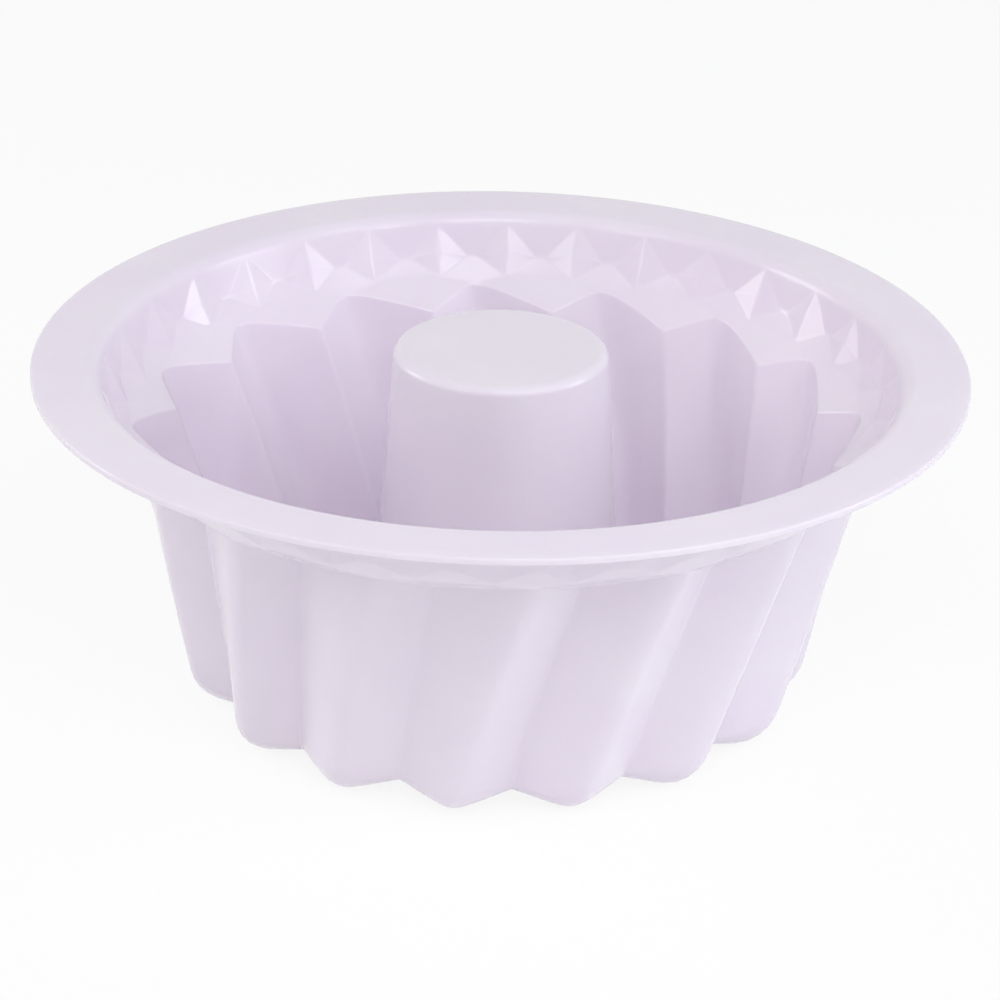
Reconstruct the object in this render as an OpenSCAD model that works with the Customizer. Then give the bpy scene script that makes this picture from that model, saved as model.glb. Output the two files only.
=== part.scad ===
// Silicone kugelhopf mould: a round pan with swirled flutes and a closed central tube.
// It is moulded in one piece of nearly even thickness. Millimetres, z = 0 on the table.

/* [Rim] */
// Outside diameter of the flat rim
rim_d = 250; // [244:1:270]
// Height of the rim's top face above the table
rim_h = 96.5; // [80:0.5:120]
// Width of the rim, as far as the collar's line would meet it
rim_w = 17.5; // [14:0.5:19]
// Length of the bend between the rim and the collar, to each side
bend = 3.4; // [2.5:0.1:5]
// Rounding of the rim's outer edge
rim_edge = 0.5; // [0.3:0.1:0.7]

/* [Wall] */
// Thickness of the silicone
wall = 2; // [1.7:0.1:2.8]

/* [Collar] */
// Depth below the rim at which the steep collar meets the sloping shoulder
collar_h = 12.3; // [9:0.1:14]
// How far the collar leans in over that depth
collar_in = 3.5; // [2.5:0.1:6]
// How far down the shoulder the facets reach: 0 at its top, 1 at the flutes
facet_reach = 0.66; // [0.5:0.01:0.85]

/* [Flutes] */
// Number of flutes round the body
flutes = 16; // [10:1:20]
// Turn of each crest between the shoulder and the floor, in degrees
crest_turn = 12.4; // [6:0.1:18]
// Turn of each ridge between the shoulder and the floor, in degrees
ridge_turn = 10.5; // [6:0.1:18]
// Depth of a flute, from its outer crest to its inner ridge
flute_depth = 8.2; // [4:0.2:10]
// Share of the pitch that a flute's steep side takes at the shoulder
steep_share = 0.39; // [0.3:0.01:0.5]
// Rounding of the crest, as a share of the flute's side
crest_round = 0.22; // [0.1:0.02:0.5]
// Turn of the first crest from the front, in degrees
first_crest = 5.1; // [0:0.1:22]

/* [Body] */
// Inside diameter across the crests, where the flutes start
body_top_d = 197; // [184:0.5:200]
// Depth below the rim at which the crests start
body_top_drop = 19.4; // [16:0.1:24]
// Extra depth at which the inner ridges start
ridge_drop = 4.4; // [2:0.1:7]
// Inside diameter across the crests, carried straight down to the floor
body_low_d = 164; // [150:1:172]
// Inside rounding from a crest into the floor
crest_corner = 12; // [6:0.5:14]
// Inside rounding from a ridge into the floor
ridge_corner = 3; // [1:0.5:5]
// Height of a ridge's foot above the floor
ridge_lift = 5.5; // [2:0.5:7]
// Diameter of the flat ring that the mould stands on
flat_d = 124; // [112:1:130]

/* [Tube] */
// Diameter of the tube just below its rounded top edge
tube_top_d = 57.4; // [44:0.2:66]
// Diameter of the tube, carried straight down to the floor
tube_low_d = 71; // [60:0.5:78]
// Height of the tube's closed top above the rim
tube_rise = 1.5; // [0:0.1:6]
// Rounding of the tube's top edge
tube_round = 2.6; // [2.4:0.1:4]
// Rounding between the tube and the floor
tube_root = 5; // [3:0.5:8]

/* [Hidden] */

lilac = [0.90, 0.86, 0.91];

// Eight columns a flute: the crest, its rounding, the long side, the ridge and back again
FLUTE_COLS = 8;
RIDGE_COL = 4;
pitch = 360 / flutes;
cols = flutes * FLUTE_COLS;
// Where each column stands on its side of the flute: 0 on the crest, 1 on the ridge
side_steps = [0, 0.45 * crest_round, crest_round, (1 + crest_round) / 2, 1];
// Rows that the collar's facets span: 0 at their points, 2 at their full width
FACET_ROWS = [0, 1, 2, 1, 0];

rim_r = rim_d / 2;
floor_z = wall;
tube_z = rim_h + tube_rise;

// Sections are lists of [radius, height] on the inside face, from the rim to the axis

function mix(a, b, t) = a + (b - a) * t;
function unit(v) = v / norm(v);

// The collar's line: flat rim, bend, steep collar, shoulder
meet_at = [rim_r - rim_w, rim_h];
corner_at = meet_at + [-collar_in, -collar_h];
crest_start = [body_top_d / 2, rim_h - body_top_drop];
ridge_start = crest_start - [flute_depth, ridge_drop];
bend_start = meet_at + [bend, 0];
facet_high = meet_at + bend * unit(corner_at - meet_at);
facet_low = mix(corner_at, crest_start, facet_reach);
function bent(t) = mix(mix(bend_start, meet_at, t), mix(meet_at, facet_high, t), t);
collar = [
    [rim_r - rim_edge, rim_h],
    bend_start,
    bent(1 / 3),
    bent(2 / 3),
    facet_high,
    mix(facet_high, corner_at, 0.5),
    corner_at,
    mix(corner_at, facet_low, 0.5),
    facet_low
];
FACET_ROW = 4;

// The body's line below the shoulder
body_slope = (body_top_d - body_low_d) / 2 / (crest_start[1] - floor_z);
body_tilt = atan(body_slope);
// Round corner of radius rho between the sloping wall, at radius r0 on the base, and the base
function corner(r0, rho, base, a) =
    [r0 + rho * tan(body_tilt) - rho / cos(body_tilt) + rho * cos(a), base + rho * (1 - sin(a))];
CORNER_STEPS = 3;
function corner_angle(i) = mix(body_tilt, 90, i / CORNER_STEPS);
WALL_STEPS = 3;
function body(start, r0, rho, base) =
    let (foot = corner(r0, rho, base, body_tilt))
    [
        for (i = [0:WALL_STEPS - 1]) mix(start, foot, i / WALL_STEPS),
        for (i = [0:CORNER_STEPS]) corner(r0, rho, base, corner_angle(i)),
        [flat_d / 2, floor_z]
    ];
crest_line = body(crest_start, body_low_d / 2, crest_corner, floor_z);
ridge_line = body(ridge_start, body_low_d / 2 - flute_depth + ridge_lift * body_slope,
    ridge_corner, floor_z + ridge_lift);

// The floor inside the flat ring, the tube and its closed top
tube_slope = (tube_low_d - tube_top_d) / 2 / (tube_z - floor_z);
tube_tilt = atan(tube_slope);
root_r = tube_low_d / 2 + tube_root * tan(45 - tube_tilt / 2);
top_r = tube_top_d / 2 - tube_round * tan(45 - tube_tilt / 2);
ROOT_STEPS = 3;
EDGE_STEPS = 2;
core_line = [
    [mix(root_r, flat_d / 2, 0.5), floor_z],
    for (i = [0:ROOT_STEPS])
        let (a = mix(90, tube_tilt, i / ROOT_STEPS))
        [root_r - tube_root * cos(a), floor_z + tube_root * (1 - sin(a))],
    for (i = [0:EDGE_STEPS])
        let (a = mix(tube_tilt, 90, i / EDGE_STEPS))
        [top_r + tube_round * cos(a), tube_z - tube_round * (1 - sin(a))]
];

crest_section = concat(collar, crest_line, core_line);
ridge_section = concat(collar, ridge_line, core_line);
FLUTE_ROW = len(collar);
CORE_ROW = FLUTE_ROW + len(crest_line);
LAST_ROW = len(crest_section) - 1;

// The outside face lies one wall thickness from the inside face, mitred at each bend
function below(d) = [-d[1], d[0]];
function side(line, i) = below(unit(line[i + 1] - line[i]));
function shifted(line) = [
    for (i = [0:len(line) - 1])
        let (a = side(line, max(i - 1, 0)), b = side(line, min(i, len(line) - 2)))
        line[i] + wall * (a + b) / (1 + a * b)
];

// How far the flute's surface lies from its crest towards its ridge, rounded at the crest
function swell(t) =
    (t < crest_round ? t * t / (2 * crest_round) : t - crest_round / 2) / (1 - crest_round / 2);
function side_step(k) = side_steps[k <= RIDGE_COL ? k : FLUTE_COLS - k];
// Place of column k along the pitch, even on the collar and leaning on the flutes
function leaning(k) =
    k <= RIDGE_COL ? steep_share * side_step(k) : 1 - (1 - steep_share) * side_step(k);
function place(k, row) = row < FLUTE_ROW || row >= CORE_ROW ? k / FLUTE_COLS : leaning(k);
// How far down the flutes a height lies: 0 at the shoulder, 1 on the floor
function depth_share(z) = min(max((crest_start[1] - z) / (crest_start[1] - floor_z), 0), 1);

// Share by which a column on the collar is cut back to the facet's straight crease:
// facets are kites, with their points on columns 2 and 6 and their corners on 0 and 4
function cut(k, row) =
    let (reach = FACET_ROWS[row - FACET_ROW], off = abs(k % 4 - 2))
    reach == undef || reach == 0 ? 0 : max(1 - off / reach, 0);
function crease(line, row) =
    mix(line[FACET_ROW], line[FLUTE_ROW - 1], (row - FACET_ROW) / (FLUTE_ROW - 1 - FACET_ROW));

function on_axis(rz, angle) = [rz[0] * sin(angle), -rz[0] * cos(angle), rz[1]];
// One ring of the surface; on the core, every second column is enough
function ring(crests, ridges, row) = [
    for (j = [0:row < CORE_ROW ? 1 : 2:cols - 1])
        let (
            k = j % FLUTE_COLS,
            line_at = mix(crests[row], ridges[row], swell(side_step(k))),
            rz = mix(line_at, crease(crests, row), cut(k, row)),
            turn = row < FLUTE_ROW ? 0
                : row < CORE_ROW ? mix(crest_turn, ridge_turn, side_step(k)) * depth_share(rz[1])
                : crest_turn
        )
        on_axis(rz, first_crest + (floor(j / FLUTE_COLS) + place(k, row)) * pitch - turn)
];
function face(crests, ridges) = [for (row = [0:LAST_ROW]) ring(crests, ridges, row)];

module mould() {
    inside = face(crest_section, ridge_section);
    outside = face(shifted(crest_section), shifted(ridge_section));
    edge_z = [rim_h - rim_edge, rim_h - wall + rim_edge];
    edge = [
        for (z = edge_z)
            [for (j = [0:cols - 1]) on_axis([rim_r, z], first_crest + j * pitch / FLUTE_COLS)]
    ];
    // Rings from the middle of the tube's top, over the inside, round the rim and back below
    rings = concat(
        [[[0, 0, tube_z]]],
        [for (row = [LAST_ROW:-1:0]) inside[row]],
        edge,
        outside,
        [[[0, 0, tube_z - wall]]]
    );
    starts = [for (i = 0, n = 0; i < len(rings); n = n + len(rings[i]), i = i + 1) n];

    // Columns on the band whose facets narrow upwards or downwards need mirrored diagonals
    UP = 1;
    DOWN = 2;
    function band_kind(i) =
        let (above = LAST_ROW + 1 - i, under = i - LAST_ROW - len(edge) - 2)
        above > FACET_ROW && above <= FACET_ROW + 2 ? UP
        : above > FACET_ROW + 2 && above <= FACET_ROW + 4 ? DOWN
        : under >= FACET_ROW && under < FACET_ROW + 2 ? DOWN
        : under >= FACET_ROW + 2 && under < FACET_ROW + 4 ? UP
        : 0;
    function falls(i, j) =
        let (first_half = j % 4 < 2)
        band_kind(i) == UP ? first_half : band_kind(i) == DOWN ? !first_half : true;
    function at(i, j) = starts[i] + j % len(rings[i]);
    // Triangles between ring i and ring i + 1
    function band(i) =
        let (n = len(rings[i]), m = len(rings[i + 1]))
        n == m ? [
            for (j = [0:n - 1])
                each falls(i, j)
                    ? [[at(i, j), at(i, j + 1), at(i + 1, j + 1)], [at(i, j), at(i + 1, j + 1), at(i + 1, j)]]
                    : [[at(i, j), at(i, j + 1), at(i + 1, j)], [at(i, j + 1), at(i + 1, j + 1), at(i + 1, j)]]
        ]
        : n == 1 ? [for (j = [0:m - 1]) [at(i, 0), at(i + 1, j + 1), at(i + 1, j)]]
        : m == 1 ? [for (j = [0:n - 1]) [at(i, j), at(i, j + 1), at(i + 1, 0)]]
        : n < m ? [
            for (j = [0:n - 1])
                each [
                    [at(i, j), at(i + 1, 2 * j + 1), at(i + 1, 2 * j)],
                    [at(i, j), at(i, j + 1), at(i + 1, 2 * j + 1)],
                    [at(i, j + 1), at(i + 1, 2 * j + 2), at(i + 1, 2 * j + 1)]
                ]
        ]
        : [
            for (j = [0:m - 1])
                each [
                    [at(i, 2 * j), at(i, 2 * j + 1), at(i + 1, j)],
                    [at(i, 2 * j + 1), at(i + 1, j + 1), at(i + 1, j)],
                    [at(i, 2 * j + 1), at(i, 2 * j + 2), at(i + 1, j + 1)]
                ]
        ];
    color(lilac)
        polyhedron(
            points = [for (r = rings) each r],
            faces = [for (i = [0:len(rings) - 2]) each band(i)],
            convexity = 12
        );
}

mould();
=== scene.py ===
"""Looks of a silicone kugelhopf mould: its moulded surface, its silicone and a plain studio.

The whole mould is one closed surface of two parameters. Rows run from the middle of the tube's top, over the
inside, round the rim and back along the outside; columns run round the axis. Metres, z = 0 on the table.
"""

import math

import bpy
import numpy as np
from mathutils import Euler, Matrix, Vector


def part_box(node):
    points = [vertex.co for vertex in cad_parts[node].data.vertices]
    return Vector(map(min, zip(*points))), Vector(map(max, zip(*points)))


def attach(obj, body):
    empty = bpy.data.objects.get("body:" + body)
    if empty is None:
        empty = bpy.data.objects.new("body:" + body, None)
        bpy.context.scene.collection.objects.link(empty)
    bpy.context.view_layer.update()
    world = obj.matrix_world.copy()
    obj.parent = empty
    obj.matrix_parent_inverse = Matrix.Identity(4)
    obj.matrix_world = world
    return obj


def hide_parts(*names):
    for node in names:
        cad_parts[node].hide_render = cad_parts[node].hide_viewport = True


bl_info = {
    "name": "Silicone kugelhopf mould",
    "version": (1, 0, 0),
    "blender": (4, 5, 0),
    "location": "3D View > Sidebar > Kugelhopf",
    "description": "Builds the surface, the silicone and the studio of a fluted baking mould",
    "category": "Mesh",
}

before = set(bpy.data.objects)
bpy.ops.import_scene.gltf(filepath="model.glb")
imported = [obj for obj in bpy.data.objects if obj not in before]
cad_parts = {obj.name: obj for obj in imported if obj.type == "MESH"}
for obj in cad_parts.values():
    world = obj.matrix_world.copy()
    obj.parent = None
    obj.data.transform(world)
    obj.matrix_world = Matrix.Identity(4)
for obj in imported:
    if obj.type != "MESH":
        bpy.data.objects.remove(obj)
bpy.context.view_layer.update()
CAD_LOW, CAD_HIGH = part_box("mould")

MM = 0.001

# The grid round the axis: columns of one flute, of one side of it and of half a collar facet
FLUTE_COLS = 32
SIDE_COLS = 16
HALF_FACET_COLS = 8

# Roundings of the inside face that nobody needs to change, and the least that the outside face keeps of two
KNEE_ROUND = 4 * MM
FLUTE_TOP_ROUND, FLUTE_TOP_LEAST = 1.6 * MM, 0.7 * MM
TUBE_EDGE_LEAST = 0.6 * MM
# How far the short roundings below the facets and round the flat ring reach along each run
FACET_LOW_REACH = 0.9 * MM
FLAT_RING_REACH = 1.5 * MM

# Silicone: how strongly it bends light, and the size of the patches in its colour and its sheen
SILICONE_IOR = 1.43
TONE_PATCH = 35 * MM
SHEEN_PATCH = 14 * MM

# Studio: half the floor's side, the height that the lamps face, and the tint of the even light
FLOOR_REACH = 3.0
LAMP_AIM = 60 * MM
SURROUND_TINT = (0.97, 0.98, 1.0)

# Photograph: the depth below the rim that the camera looks at, and how far the picture was shifted
LOOK_BELOW_RIM = 37.5 * MM
PICTURE_SHIFT = (0.00146, -0.02084)
SENSOR_WIDTH = 36


# Settings


def length(name, description, default, low, high):
    """A size in metres, given here in millimetres."""
    return bpy.props.FloatProperty(
        name=name, description=description, default=default * MM, min=low * MM, max=high * MM,
        subtype="DISTANCE", unit="LENGTH", precision=5,
    )


def angle(name, description, default, low, high):
    """An angle in radians, given here in degrees."""
    return bpy.props.FloatProperty(
        name=name, description=description, default=math.radians(default),
        min=math.radians(low), max=math.radians(high), subtype="ANGLE", unit="ROTATION",
    )


def share(name, description, default, low=0.0, high=1.0):
    """A plain number between two limits."""
    return bpy.props.FloatProperty(
        name=name, description=description, default=default, min=low, max=high, subtype="FACTOR", precision=3,
    )


def colour(name, description, default):
    """A colour in linear light, given here as it is seen on screen, 0 to 255."""
    seen = np.array(default) / 255
    linear = np.where(seen <= 0.04045, seen / 12.92, ((seen + 0.055) / 1.055) ** 2.4)
    return bpy.props.FloatVectorProperty(
        name=name, description=description, default=tuple(map(float, linear)),
        min=0.0, max=1.0, size=3, subtype="COLOR",
    )


class MouldSizes(bpy.types.PropertyGroup):
    """Sizes of the mould."""

    rim_radius: length("Rim radius", "From the axis to the rim's outer edge", CAD_HIGH[0] / MM, 120, 135)
    rim_height: length("Rim height", "From the table to the rim's top face", 96.5, 80, 120)
    rim_width: length("Rim width", "Flat rim, as far as the collar's line would meet it", 17.5, 14, 19)
    rim_edge: length("Rim edge", "Rounding of the rim's outer edge", 0.5, 0.3, 0.7)
    rim_lift: length("Rim lift", "How far the soft rim's edge rides up at the back", 0.8, 0, 1.2)
    rim_sag: length("Rim sag", "How far the soft rim hangs down at the left and right", 1.1, 0, 3)
    bend: length("Bend", "Length of the bend between rim and collar, to each side", 3.4, 2.5, 5)
    wall: length("Wall", "Thickness of the silicone", 2.0, 1.7, 2.8)
    collar_depth: length("Collar depth", "Depth of the steep part of the collar", 12.3, 9, 14)
    collar_lean: length("Collar lean", "How far the collar leans in over that depth", 3.5, 2.5, 6)
    facet_reach: share("Facet reach", "How far down the shoulder the facets reach", 0.66, 0.5, 0.85)
    facet_width: share("Facet width", "Width of a facet as a share of the room it has", 0.88, 0.5, 0.97)
    flutes: bpy.props.IntProperty(
        name="Flutes", description="Number of flutes round the body", default=16, min=10, max=20,
    )
    first_crest: angle("First crest", "Turn of the first crest from the front", 5.1, 0, 22)
    crest_turn: angle("Crest turn", "Turn of a crest between shoulder and floor", 12.4, 6, 18)
    ridge_turn: angle("Ridge turn", "Turn of a ridge between shoulder and floor", 10.5, 6, 18)
    flute_depth: length("Flute depth", "From an outer crest to an inner ridge", 8.2, 4, 10)
    steep_share: share("Steep share", "Part of the pitch on a flute's steep side", 0.39, 0.3, 0.5)
    crest_round: share("Crest rounding", "Rounding of a crest, as a share of a flute's side", 0.22, 0.1, 0.5)
    ridge_round: share("Ridge rounding", "Rounding of a ridge, as a share of a flute's side", 0.06, 0.02, 0.3)
    body_top: length("Body top radius", "Inside radius over the crests at their start", 98.5, 92, 100)
    crest_drop: length("Crest drop", "Depth below the rim at which a crest starts", 19.4, 16, 24)
    ridge_drop: length("Ridge drop", "Extra depth at which a ridge starts", 4.4, 2, 7)
    body_low: length("Body low radius", "Inside radius across the crests, carried to the floor", 82, 75, 86)
    crest_corner: length("Crest corner", "Inside rounding from a crest into the floor", 12, 6, 14)
    ridge_corner: length("Ridge corner", "Inside rounding from a ridge into the floor", 3, 1, 5)
    ridge_lift: length("Ridge lift", "Height of a ridge's foot above the floor", 5.5, 2, 7)
    flat_radius: length("Flat radius", "Radius of the flat ring that the mould stands on", 62, 56, 65)
    tube_top: length("Tube top radius", "Radius of the tube at its top", 28.7, 22, 33)
    tube_low: length("Tube low radius", "Radius of the tube, carried to the floor", 35.5, 30, 39)
    tube_height: length("Tube height", "From the table to the tube's closed top", CAD_HIGH[2] / MM, 80, 125)
    tube_round: length("Tube edge", "Rounding of the tube's top edge", 2.6, 2.4, 4)
    tube_root: length("Tube root", "Rounding between tube and floor", 5, 3, 8)


class SiliconeLook(bpy.types.PropertyGroup):
    """Colour and finish of the silicone."""

    tint: colour("Tint", "Colour of the silicone", (240, 232, 243))
    tint_deep: colour("Deep tint", "Colour of its slightly denser patches", (237, 228, 241))
    roughness: share("Roughness", "Roughness of the moulded skin", 0.21)
    roughness_spread: share("Roughness spread", "How much the roughness wanders", 0.05)
    glow: share("Glow", "Share of light that wanders inside the silicone", 0.4)
    glow_depth: length("Glow depth", "How far light wanders inside the silicone", 2, 0, 10)
    grain: length("Grain size", "Size of the fine grain left by the moulding tool", 0.7, 0.2, 3)
    grain_height: length("Grain height", "Height of that grain", 0.012, 0, 0.1)
    ripple: length("Ripple size", "Size of the soft unevenness of the surface", 22, 5, 60)
    ripple_height: length("Ripple height", "Height of that unevenness", 0.05, 0, 0.5)


class StudioSettings(bpy.types.PropertyGroup):
    """Light, floor and camera."""

    backdrop: colour("Backdrop", "Colour of floor and backdrop", (255, 255, 255))
    shadow: share("Shadow", "How much of the mould's shadow the white floor keeps", 0.12)
    bounce: share("Bounce", "How much light the floor throws back up at the mould", 0.96)
    surround: share("Surround", "Strength of the even light from all round", 0.40)
    lens: bpy.props.FloatProperty(
        name="Lens", description="Focal length on a sensor 36 mm wide", default=115.59,
        min=20.0, max=300.0, subtype="DISTANCE_CAMERA",
    )
    distance: length("Distance", "From the camera to the point it looks at", 875, 300, 3000)
    elevation: angle("Elevation", "Height of the camera above the horizon", 24.88, -10, 90)
    roll: angle("Roll", "Turn of the picture", 1.18, -10, 10)


# The mould's surface


def mix(a, b, t):
    """a where t is 0 and b where t is 1."""
    return a + (b - a) * t


def unit(v):
    """The vector of length 1 in the direction of v."""
    return v / np.linalg.norm(v)


def ramp(i, start, end):
    """0 up to start, 1 from end, straight between them."""
    return np.clip((i - start) / (end - start), 0.0, 1.0)


def setback(corners, i, radius):
    """How far from corner i an arc of that radius leaves its straight runs: radius * tan(turn / 2)."""
    before, after = unit(corners[i] - corners[i - 1]), unit(corners[i + 1] - corners[i])
    return radius * math.tan(math.acos(float(np.clip(before @ after, -1, 1))) / 2)


def rounded_line(corners, setbacks, run_steps, arc_steps):
    """Points along straight runs whose corners are arcs.

    An arc leaves its runs at a and e, the setback away from the corner p. With w the cosine of half the turn,
    it is ((1-t)^2 a + 2 w t (1-t) p + t^2 e) / ((1-t)^2 + 2 w t (1-t) + t^2), a true circle, for t from 0
    to 1.
    Returns the points, and for each corner the first and last row of its arc.
    """
    points, arcs = [corners[:1]], []
    leave = corners[0]
    for i in range(1, len(corners) - 1):
        p = corners[i]
        u, v = unit(p - corners[i - 1]), unit(corners[i + 1] - p)
        a, e = p - u * setbacks[i - 1], p + v * setbacks[i - 1]
        run = np.linspace(0, 1, run_steps[i - 1] + 1)[1:, None]
        points.append(mix(leave, a, run))
        w = math.sqrt(max((1 + float(u @ v)) / 2, 0))
        t = np.linspace(0, 1, arc_steps[i - 1] + 1)[1:, None]
        weight = 2 * w * t * (1 - t)
        arc = ((1 - t) ** 2 * a + weight * p + t**2 * e) / ((1 - t) ** 2 + weight + t**2)
        first = sum(map(len, points)) - 1
        arcs.append((first, first + arc_steps[i - 1]))
        points.append(arc)
        leave = e
    run = np.linspace(0, 1, run_steps[-1] + 1)[1:, None]
    points.append(mix(leave, corners[-1], run))
    return np.concatenate(points), arcs


def shifted(corners, wall):
    """The line moved one wall thickness to its outer side, mitred: p + wall * (m + n) / (1 + m . n).

    m and n are the normals of the runs before and after p.
    """
    along = np.diff(corners, axis=0)
    along /= np.linalg.norm(along, axis=1)[:, None]
    normals = np.stack([-along[:, 1], along[:, 0]], axis=1)
    m, n = np.vstack([normals[:1], normals]), np.vstack([normals, normals[-1:]])
    return corners + wall * (m + n) / (1 + np.sum(m * n, axis=1))[:, None]


def section_corners(s, ridge):
    """Corners of the inside face from the rim to the axis, as rows of radius and height."""
    floor = s.wall
    meet = np.array([s.rim_radius - s.rim_width, s.rim_height])
    knee = meet - [s.collar_lean, s.collar_depth]
    crest_start = np.array([s.body_top, s.rim_height - s.crest_drop])
    facet_low = mix(knee, crest_start, s.facet_reach)
    slope = (s.body_top - s.body_low) / (crest_start[1] - floor)
    start, foot = crest_start, np.array([s.body_low, floor])
    if ridge:
        start = crest_start - [s.flute_depth, s.ridge_drop]
        foot = foot + [s.ridge_lift * slope - s.flute_depth, s.ridge_lift]
    return np.array([
        [s.rim_radius, s.rim_height], meet, knee, facet_low, start, foot,
        [s.flat_radius, floor], [s.tube_low, floor], [s.tube_top, s.tube_height], [0, s.tube_height],
    ])


# Names of the section's corners after its start: where each one lies in the lists above
RIM_EDGE, MEET, KNEE, FACET_LOW, FLUTE_TOP, FOOT, FLAT_RING, ROOT, TUBE_EDGE = range(9)
# Steps along the straight run that leads to each corner, and round the corner's arc
INSIDE_STEPS = [(1, 3), (4, 8), (8, 4), (6, 2), (4, 5), (12, 8), (3, 2), (3, 6), (7, 6), (5, 0)]
OUTSIDE_STEPS = [(1, 3), (3, 5), (6, 2), (5, 2), (3, 3), (12, 7), (3, 2), (2, 5), (5, 3), (4, 0)]


def section(s, ridge, outside):
    """One section of a face, from the middle of the rim's edge to the axis, and the rows of its corners."""
    inner = section_corners(s, ridge)
    corners, extra = inner, 0.0
    if outside:
        corners = shifted(inner, s.wall)
        corners[-1, 0] = 0.0
        extra = s.wall
    # A corner that is hollow on the inside face gets wider on the outside face, and the others tighter
    radii = {
        RIM_EDGE: s.rim_edge,
        KNEE: KNEE_ROUND + extra,
        FLUTE_TOP: max(FLUTE_TOP_ROUND - extra / 2, FLUTE_TOP_LEAST),
        FOOT: (s.ridge_corner if ridge else s.crest_corner) + extra,
        ROOT: s.tube_root + extra,
        TUBE_EDGE: max(s.tube_round - extra, TUBE_EDGE_LEAST),
    }
    turn = math.atan2(s.collar_depth, s.collar_lean)
    lengths = {
        MEET: s.bend - extra * math.tan(turn / 2),
        FACET_LOW: FACET_LOW_REACH,
        FLAT_RING: FLAT_RING_REACH,
    }
    corners = np.vstack([[s.rim_radius, s.rim_height - s.wall / 2], corners])
    setbacks = [lengths[i] if i in lengths else setback(corners, i + 1, radii[i]) for i in range(9)]
    steps = OUTSIDE_STEPS if outside else INSIDE_STEPS
    return rounded_line(corners, setbacks, [run for run, _ in steps], [arc for _, arc in steps])


def flute_columns(s):
    """For each column of one flute: its way from crest to ridge, its even place and its leaning place.

    The way t is (1 - cos(pi u)) / 2 on each side, so that columns gather where the surface bends. The leaning
    place gives the steep side its share of the pitch.
    """
    k = np.arange(FLUTE_COLS)
    u = np.where(k <= SIDE_COLS, k, FLUTE_COLS - k) / SIDE_COLS
    t = (1 - np.cos(np.pi * u)) / 2
    lean = np.where(k <= SIDE_COLS, s.steep_share * t, 1 - (1 - s.steep_share) * t)
    return t, k / FLUTE_COLS, lean


def swell(s, t):
    """How far the surface lies from crest to ridge: straight, with a parabola at each end.

    With c and d the roundings of crest and ridge and n = 1 - c/2 - d/2, it is t^2 / 2cn up to c,
    (t - c/2) / n after it and 1 - (1-t)^2 / 2dn over the last d.
    """
    c, d = s.crest_round, s.ridge_round
    n = 1 - c / 2 - d / 2
    middle = (t - c / 2) / n
    near_ridge = 1 - (1 - t) ** 2 / (2 * d * n)
    return np.where(t < c, t * t / (2 * c * n), np.where(t > 1 - d, near_ridge, middle))


def facet_fan(s, along):
    """Where the columns of half a facet stand, 0 on its crease and 1 half-way to the next one, and its edge.

    along runs from 0 at the facet's upper point to 1 at its lower one. The edge opens from a narrow point to
    the facet's width and closes again; half of the columns stand on the facet and half beside it.
    """
    narrow = 0.05
    edge = narrow + (s.facet_width - narrow) * (1 - np.abs(2 * along - 1))[:, None]
    on_facet = np.array([0.0, 0.13, 0.45, 0.86, 1.0])
    beside = np.array([0.15, 0.42, 0.72, 1.0])
    return np.hstack([edge * on_facet, edge + (1 - edge) * beside]), edge


def half_facet(values):
    """Spreads values given from a crease to the middle between creases over one flute's columns."""
    k = np.arange(FLUTE_COLS)
    return values[:, np.abs(k % (2 * HALF_FACET_COLS) - HALF_FACET_COLS)]


def on_axis(r, z, turn):
    """The point at radius r and height z, turned from the front towards +X."""
    return np.stack([r * np.sin(turn), -r * np.cos(turn), z + 0 * turn], axis=-1)


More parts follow.
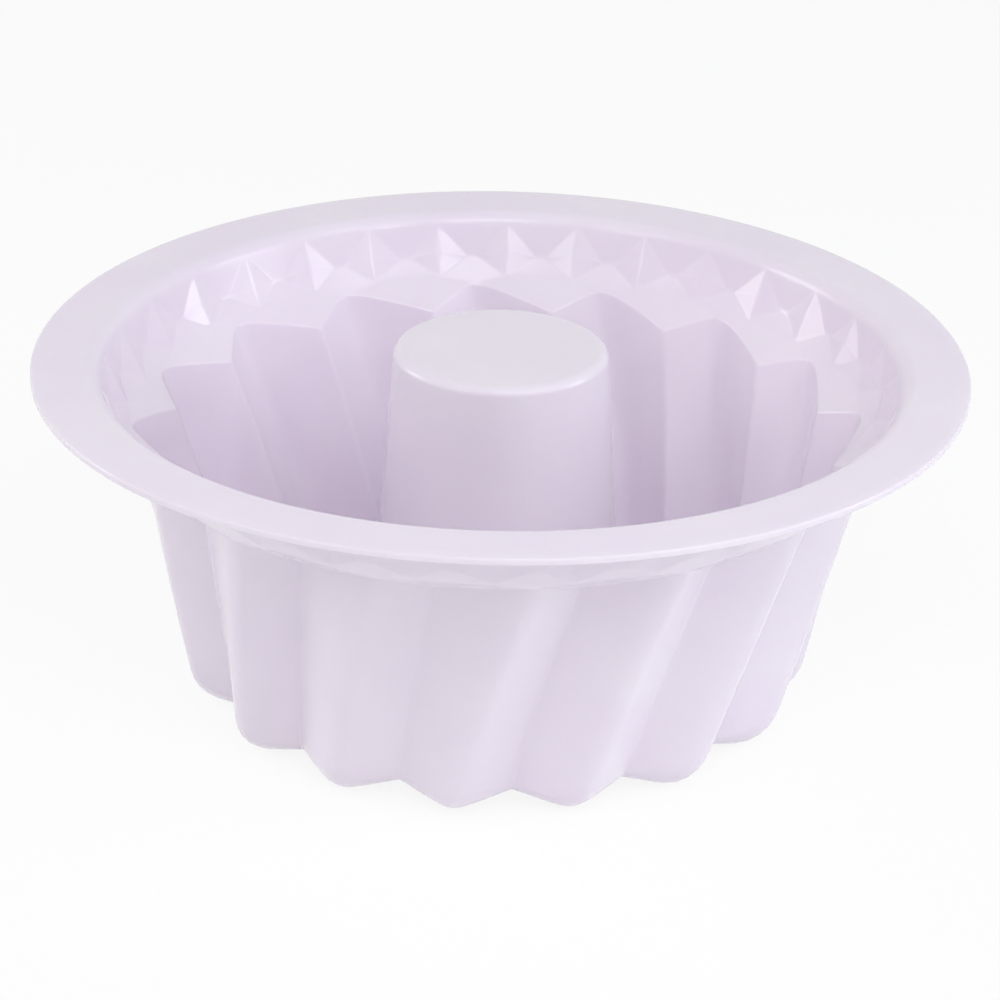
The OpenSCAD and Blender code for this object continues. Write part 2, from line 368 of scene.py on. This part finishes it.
def face(s, outside):
    """One face of the mould: a grid of points, row by row from the middle of the rim's edge to the axis.

    Each column mixes the crest's and the ridge's section by its swell. The flutes lean: a column turns back
    by its own turn times the depth below the shoulder. On the collar each facet is a flat kite: a straight
    crease from its upper to its lower point, and flat sides from there to its edge on the round collar.
    """
    crest, arcs = section(s, False, outside)
    ridge, _ = section(s, True, outside)
    i = np.arange(len(crest))[:, None]
    t, even, lean = flute_columns(s)
    bulge = swell(s, t)[None, :]
    r = mix(crest[:, :1], ridge[:, :1], bulge)
    z = mix(crest[:, 1:], ridge[:, 1:], bulge)

    # Rows between the facets' upper and lower points, and how far along the facet each one is
    high, knee, low = arcs[MEET][1], sum(arcs[KNEE]) // 2, sum(arcs[FACET_LOW]) // 2
    run = np.concatenate([[0], np.cumsum(np.linalg.norm(np.diff(crest, axis=0), axis=1))])
    along = np.interp(run, [run[high], run[knee], run[low]], [0, 0.5, 1])
    fan, edge = facet_fan(s, along)
    # The columns open into their fan over the bend and go to the flutes' places over the shoulder
    on_shoulder = ramp(i, arcs[FACET_LOW][1], arcs[FLUTE_TOP][0])
    opened = ramp(i, arcs[MEET][0], high) * (1 - on_shoulder)
    stand = mix(np.linspace(0, 1, HALF_FACET_COLS + 1)[None, :], fan, opened)
    k = np.arange(FLUTE_COLS)
    crease = (k // (2 * HALF_FACET_COLS) + 0.5) / 2
    side = np.sign(k % (2 * HALF_FACET_COLS) - HALF_FACET_COLS)
    on_collar = crease + side * half_facet(stand) / 4

    on_floor = ramp(i, arcs[FLAT_RING][1], arcs[ROOT][0])
    place = mix(np.where(i < arcs[FOOT][0], on_collar, even), lean, on_shoulder * (1 - on_floor))
    shoulder = s.rim_height - s.crest_drop
    depth = np.clip((shoulder - z) / (shoulder - s.wall), 0, 1)
    turn_back = mix(mix(s.crest_turn, s.ridge_turn, t) * depth, s.crest_turn, on_floor)

    # The same for every flute: facets by the points they lie between, all else by radius, height and turn
    pitch = 2 * math.pi / s.flutes
    flute = np.arange(s.flutes)[:, None, None]
    turn = s.first_crest + (flute + place) * pitch - turn_back
    points = on_axis(r, z, turn)
    rows_on = slice(high, low + 1)
    crease_turn = s.first_crest + (flute + crease[None, :]) * pitch
    edge_turn = crease_turn + side * edge[rows_on] / 4 * pitch
    line = mix(crest[high], crest[low], along[rows_on, None])
    on_crease = on_axis(line[:, :1], line[:, 1:], crease_turn)
    on_edge = on_axis(r[rows_on], z[rows_on], edge_turn)
    way = half_facet(fan[rows_on]) / edge[rows_on]
    flat = mix(on_crease, on_edge, np.minimum(way, 1)[None, :, :, None])
    points[:, rows_on] = np.where((way <= 1)[None, :, :, None], flat, points[:, rows_on])
    # flute, row, column, xyz to row, column round the whole mould, xyz
    return points.transpose(1, 0, 2, 3).reshape(len(crest), -1, 3)


def soften(s, points):
    """The mould isn't quite true: the rim's edge rides up at the back, and the rim hangs down at both sides.

    With b = (1 + y/r) / 2, h the height over the rim's height and f from 0 where the flat rim starts to 1 at
    its edge, the lift is b^2 f^2. The sag is (x/r)^2 h^2, and fades out between the body's wall and the tube.
    """
    x, y, z = points[:, 0], points[:, 1], points[:, 2]
    r = np.maximum(np.hypot(x, y), MM)
    height = np.clip(z / s.rim_height, 0, 1)
    flat = ramp(r, s.rim_radius - s.rim_width, s.rim_radius)
    lift = s.rim_lift * ((1 + y / r) / 2) ** 2 * flat**2 * (height > 0.9)
    sag = s.rim_sag * (x / r) ** 2 * height**2 * ramp(r, 0.6 * s.body_top, 0.85 * s.body_top)
    return points + np.stack([0 * x, 0 * y, lift - sag], axis=1)


def mould_surface(s):
    """Points and faces of the whole closed surface: the inside face, the rim's edge and the outside face."""
    inside, outside = face(s, False), face(s, True)
    # Both faces start on the same line round the rim's edge, and end on the axis in a single point
    grid = np.concatenate([inside[-2::-1], outside[1:-1]])
    rows, cols = grid.shape[:2]
    points = np.vstack([grid.reshape(-1, 3), [[0, 0, inside[-1, 0, 2]], [0, 0, outside[-1, 0, 2]]]])
    i, j = np.meshgrid(np.arange(rows - 1), np.arange(cols), indexing="ij")
    at, right = i * cols + j, i * cols + (j + 1) % cols
    quads = np.stack([at, at + cols, right + cols, right], axis=-1).reshape(-1, 4)
    around = np.arange(cols)
    first = np.stack([np.full(cols, rows * cols), around, (around + 1) % cols], axis=1)
    base = (rows - 1) * cols
    last = np.stack([np.full(cols, rows * cols + 1), base + (around + 1) % cols, base + around], axis=1)
    return soften(s, points), quads, np.vstack([first, last])


def smooth_mesh(name, points, quads, triangles):
    """A smooth mesh from arrays of points, quads and triangles."""
    mesh = bpy.data.meshes.new(name)
    mesh.vertices.add(len(points))
    mesh.vertices.foreach_set("co", points.astype(np.float32).ravel())
    corners = np.concatenate([quads.ravel(), triangles.ravel()]).astype(np.int32)
    mesh.loops.add(len(corners))
    mesh.loops.foreach_set("vertex_index", corners)
    sizes = np.concatenate([np.full(len(quads), 4), np.full(len(triangles), 3)])
    starts = np.concatenate([[0], np.cumsum(sizes)[:-1]]).astype(np.int32)
    mesh.polygons.add(len(sizes))
    mesh.polygons.foreach_set("loop_start", starts)
    mesh.polygons.foreach_set("use_smooth", np.ones(len(sizes), dtype=bool))
    mesh.update(calc_edges=True)
    mesh.validate()
    return mesh


def add_piece(name, mesh, material):
    """A new object of that mesh at the origin."""
    piece = bpy.data.objects.new(name, mesh)
    mesh.materials.append(material)
    bpy.context.scene.collection.objects.link(piece)
    return piece


# Materials


def new_material(name):
    """A material with its nodes, its links and its shader."""
    material = bpy.data.materials.new(name)
    material.use_nodes = True
    nodes, links = material.node_tree.nodes, material.node_tree.links
    return material, nodes, links, nodes["Principled BSDF"]


def noise(nodes, links, coordinates, size, detail, roughness=0.5):
    """A noise texture whose patches are about that size in metres."""
    texture = nodes.new("ShaderNodeTexNoise")
    texture.inputs["Scale"].default_value = 1 / size
    texture.inputs["Detail"].default_value = detail
    texture.inputs["Roughness"].default_value = roughness
    links.new(coordinates, texture.inputs["Vector"])
    return texture.outputs["Fac"]


def spread(nodes, links, value, low, high):
    """Carries a noise, which mostly lies between 0.3 and 0.7, to the range from low to high."""
    node = nodes.new("ShaderNodeMapRange")
    node.inputs["From Min"].default_value, node.inputs["From Max"].default_value = 0.3, 0.7
    node.inputs["To Min"].default_value, node.inputs["To Max"].default_value = low, high
    links.new(value, node.inputs["Value"])
    return node.outputs["Result"]


def silicone(look):
    """Pale lilac silicone: a soft sheen over a faintly grained, slightly uneven moulded skin."""
    material, nodes, links, shader = new_material("lilac silicone")
    coordinates = nodes.new("ShaderNodeTexCoord").outputs["Object"]

    tone = nodes.new("ShaderNodeMix")
    tone.data_type = "RGBA"
    tone.inputs[6].default_value = (*look.tint, 1)
    tone.inputs[7].default_value = (*look.tint_deep, 1)
    links.new(spread(nodes, links, noise(nodes, links, coordinates, TONE_PATCH, 2), 0, 1), tone.inputs[0])
    links.new(tone.outputs[2], shader.inputs["Base Color"])

    least, most = look.roughness - look.roughness_spread / 2, look.roughness + look.roughness_spread / 2
    sheen = spread(nodes, links, noise(nodes, links, coordinates, SHEEN_PATCH, 2, 0.6), least, most)
    links.new(sheen, shader.inputs["Roughness"])

    ripple = nodes.new("ShaderNodeBump")
    ripple.inputs["Distance"].default_value = look.ripple_height
    links.new(noise(nodes, links, coordinates, look.ripple, 0), ripple.inputs["Height"])
    grain = nodes.new("ShaderNodeBump")
    grain.inputs["Distance"].default_value = look.grain_height
    links.new(noise(nodes, links, coordinates, look.grain, 1, 0.6), grain.inputs["Height"])
    links.new(ripple.outputs["Normal"], grain.inputs["Normal"])
    links.new(grain.outputs["Normal"], shader.inputs["Normal"])

    shader.inputs["IOR"].default_value = SILICONE_IOR
    shader.inputs["Subsurface Weight"].default_value = look.glow
    shader.inputs["Subsurface Radius"].default_value = (1.0, 0.85, 1.0)
    shader.inputs["Subsurface Scale"].default_value = look.glow_depth
    return material


def seen_directly(nodes, links):
    """1 for rays from the camera, mirrors and glass, 0 for the rays that light the mould."""
    path = nodes.new("ShaderNodeLightPath")
    total = path.outputs["Is Camera Ray"]
    for kind in ("Is Glossy Ray", "Is Transmission Ray"):
        add = nodes.new("ShaderNodeMath")
        add.operation = "MAXIMUM"
        links.new(total, add.inputs[0])
        links.new(path.outputs[kind], add.inputs[1])
        total = add.outputs[0]
    return total


def floor_paint(studio):
    """A floor that is seen as white, keeps some of the mould's shadow and is clear when seen from below."""
    material, nodes, links, shader = new_material("studio floor")
    shader.inputs["Base Color"].default_value = (studio.bounce, studio.bounce, studio.bounce, 1)
    shader.inputs["Roughness"].default_value = 1.0
    shader.inputs["Specular IOR Level"].default_value = 0.0
    white = nodes.new("ShaderNodeEmission")
    white.inputs["Color"].default_value = (*studio.backdrop, 1)
    fade = nodes.new("ShaderNodeMath")
    fade.operation = "MULTIPLY"
    fade.inputs[1].default_value = 1 - studio.shadow
    links.new(seen_directly(nodes, links), fade.inputs[0])
    both = nodes.new("ShaderNodeMixShader")
    links.new(fade.outputs[0], both.inputs[0])
    links.new(shader.outputs[0], both.inputs[1])
    links.new(white.outputs[0], both.inputs[2])
    above = nodes.new("ShaderNodeMixShader")
    links.new(nodes.new("ShaderNodeNewGeometry").outputs["Backfacing"], above.inputs[0])
    links.new(both.outputs[0], above.inputs[1])
    links.new(nodes.new("ShaderNodeBsdfTransparent").outputs[0], above.inputs[2])
    links.new(above.outputs[0], nodes["Material Output"].inputs["Surface"])
    return material


# Studio

# Each lamp: azimuth and elevation in degrees, distance, width and height in metres, brightness and colour.
# The narrow strips stand where the facets of the far collar mirror them to the camera.
SOFTBOXES = {
    "front softbox": (6, 50, 1.2, 0.5, 0.5, 3.8, (0.99, 0.97, 0.97)),
    "right front softbox": (50, 45, 1.2, 0.5, 0.5, 2.2, (0.92, 0.98, 1.0)),
    "left front softbox": (-50, 45, 1.2, 0.5, 0.5, 1.5, (0.97, 1.0, 1.0)),
    "right softbox": (84, 17, 1.1, 0.45, 0.45, 3.8, (0.92, 0.98, 1.0)),
    "left softbox": (-102, 20, 1.1, 0.45, 0.45, 4.0, (1.0, 1.0, 0.96)),
    "right strip": (92.5, 18, 1.0, 0.06, 0.10, 11.0, (0.97, 0.98, 1.0)),
    "right front strip": (38, 29, 1.0, 0.05, 0.10, 28.0, (1.0, 1.0, 1.0)),
    "front strip": (15.5, 31, 1.0, 0.04, 0.09, 20.0, (1.0, 1.0, 1.0)),
    "left front strip": (-40.5, 29, 1.0, 0.05, 0.10, 19.0, (1.0, 1.0, 1.0)),
}


def softbox(name, azimuth, elevation, distance, width, height, radiance, tint):
    """A rectangular lamp that faces the middle of the mould.

    azimuth is in degrees from the front towards +X, and radiance is how bright its face is, 1 being white.
    """
    lamp = bpy.data.lights.new(name, "AREA")
    lamp.shape = "RECTANGLE"
    lamp.size, lamp.size_y = width, height
    lamp.energy = radiance * math.pi * width * height
    lamp.color = tint
    holder = bpy.data.objects.new(name, lamp)
    a, e = math.radians(azimuth), math.radians(elevation)
    holder.location = (
        distance * math.sin(a) * math.cos(e),
        -distance * math.cos(a) * math.cos(e),
        LAMP_AIM + distance * math.sin(e),
    )
    holder.rotation_euler = (math.pi / 2 - e, 0, a)
    bpy.context.scene.collection.objects.link(holder)
    return holder


def surround_light(studio):
    """Even light from all round; the camera, mirrors and glass see the backdrop's colour in its place."""
    world = bpy.data.worlds.new("studio")
    world.use_nodes = True
    nodes, links = world.node_tree.nodes, world.node_tree.links
    light = nodes["Background"]
    light.inputs["Color"].default_value = (*SURROUND_TINT, 1)
    light.inputs["Strength"].default_value = studio.surround
    seen = nodes.new("ShaderNodeBackground")
    seen.inputs["Color"].default_value = (*studio.backdrop, 1)
    both = nodes.new("ShaderNodeMixShader")
    links.new(seen_directly(nodes, links), both.inputs[0])
    links.new(light.outputs[0], both.inputs[1])
    links.new(seen.outputs[0], both.inputs[2])
    links.new(both.outputs[0], nodes["World Output"].inputs["Surface"])
    bpy.context.scene.world = world


def photo_camera(studio, sizes):
    """The camera at the photograph's angle, looking at a point on the axis a little below the rim."""
    camera = bpy.data.cameras.new("camera")
    camera.sensor_width = SENSOR_WIDTH
    camera.lens = studio.lens
    camera.shift_x, camera.shift_y = PICTURE_SHIFT
    camera.clip_start, camera.clip_end = 0.05, 50
    holder = bpy.data.objects.new("camera", camera)
    e = studio.elevation
    target = Vector((0, 0, sizes.rim_height - LOOK_BELOW_RIM))
    where = target + studio.distance * Vector((0, -math.cos(e), math.sin(e)))
    holder.matrix_world = (
        Matrix.Translation(where) @ Euler((math.pi / 2 - e, 0, 0)).to_matrix().to_4x4()
        @ Matrix.Rotation(studio.roll, 4, "Z")
    )
    bpy.context.scene.collection.objects.link(holder)
    bpy.context.scene.camera = holder


# Operators, panel and start


class KUGELHOPF_OT_mould(bpy.types.Operator):
    """Builds the mould's surface, inside and outside, in lilac silicone"""

    bl_idname = "kugelhopf.mould"
    bl_label = "Mould"

    def execute(self, context):
        sizes, look = context.scene.mould_sizes, context.scene.silicone_look
        points, quads, triangles = mould_surface(sizes)
        mesh = smooth_mesh("mould_surface", points, quads, triangles)
        piece = add_piece("mould_surface", mesh, silicone(look))
        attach(piece, "root")
        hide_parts("mould")
        return {"FINISHED"}


class KUGELHOPF_OT_stage(bpy.types.Operator):
    """Builds the white floor, the even surround, the softboxes and the camera"""

    bl_idname = "kugelhopf.stage"
    bl_label = "Stage"

    def execute(self, context):
        studio, sizes = context.scene.studio_settings, context.scene.mould_sizes
        square = FLOOR_REACH * np.array([[-1, -1, 0], [1, -1, 0], [1, 1, 0], [-1, 1, 0]])
        mesh = smooth_mesh("floor", square, np.array([[0, 1, 2, 3]]), np.zeros((0, 3), dtype=int))
        add_piece("floor", mesh, floor_paint(studio))
        surround_light(studio)
        for name, lamp in SOFTBOXES.items():
            softbox(name, *lamp)
        photo_camera(studio, sizes)
        context.scene.view_settings.view_transform = "Standard"
        return {"FINISHED"}


class KUGELHOPF_PT_panel(bpy.types.Panel):
    """Lists the mould's settings and the buttons that build it"""

    bl_idname = "KUGELHOPF_PT_panel"
    bl_label = "Kugelhopf mould"
    bl_space_type = "VIEW_3D"
    bl_region_type = "UI"
    bl_category = "Kugelhopf"

    def draw(self, context):
        layout = self.layout
        groups = (
            ("Sizes", context.scene.mould_sizes), ("Silicone", context.scene.silicone_look),
            ("Studio", context.scene.studio_settings),
        )
        for title, group in groups:
            box = layout.box()
            box.label(text=title)
            for name in group.__annotations__:
                box.prop(group, name)
        for operator in (KUGELHOPF_OT_mould, KUGELHOPF_OT_stage):
            layout.operator(operator.bl_idname)


CLASSES = (
    MouldSizes, SiliconeLook, StudioSettings,
    KUGELHOPF_OT_mould, KUGELHOPF_OT_stage, KUGELHOPF_PT_panel,
)
GROUPS = {"mould_sizes": MouldSizes, "silicone_look": SiliconeLook, "studio_settings": StudioSettings}


def register():
    """Makes the classes known to Blender and hangs the settings on the scene."""
    for cls in CLASSES:
        bpy.utils.register_class(cls)
    for name, group in GROUPS.items():
        setattr(bpy.types.Scene, name, bpy.props.PointerProperty(type=group))


def unregister():
    """Takes the settings and the classes away again."""
    for name in GROUPS:
        delattr(bpy.types.Scene, name)
    for cls in reversed(CLASSES):
        bpy.utils.unregister_class(cls)


def main():
    """Builds the mould and the stage."""
    register()
    bpy.ops.kugelhopf.mould()
    bpy.ops.kugelhopf.stage()


if __name__ == "__main__":
    main()
